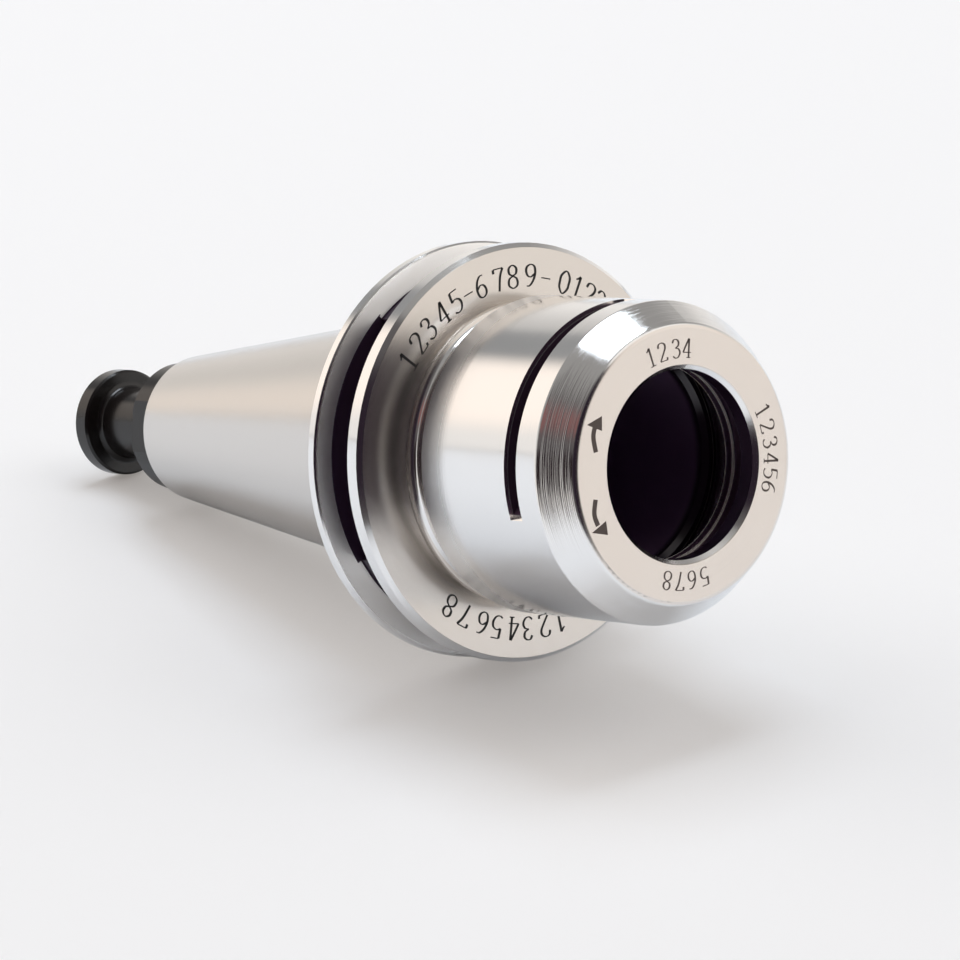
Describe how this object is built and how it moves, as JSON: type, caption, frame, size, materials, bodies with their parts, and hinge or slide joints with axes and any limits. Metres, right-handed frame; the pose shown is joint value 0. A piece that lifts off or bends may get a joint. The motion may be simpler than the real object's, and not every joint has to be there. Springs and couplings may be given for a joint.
{
  "type": "collet chuck holder",
  "caption": "Short steel spindle holder with a steep taper shank, grooved flange, round clamping nut for a spring collet and a blackened pull stud.",
  "frame": {"origin": "centre of the clamping nut's flat front face, on the axis of rotation", "axes": "+Z along the axis of rotation, from the clamping nut to the pull stud; the pull stud's wrench flats face +Y and -Y"},
  "size_m": [0.037, 0.037, 0.0829],
  "materials": {
    "holder_steel": "ground and hardened, satin",
    "nut_steel": "finely turned and ground, bright satin",
    "black_steel": "black oxide, slightly glossy"
  },
  "bodies": {
    "holder": {"holder_body": "holder_steel", "pull_stud": "black_steel"},
    "nut": {"clamping_nut": "nut_steel"}
  },
  "joints": [
    {"name": "nut_turn", "type": "hinge", "parent": "holder", "child": "nut", "pos_m": [0, 0, 0], "axis": [0, 0, -1], "range_deg": [0, 3384]}
  ]
}
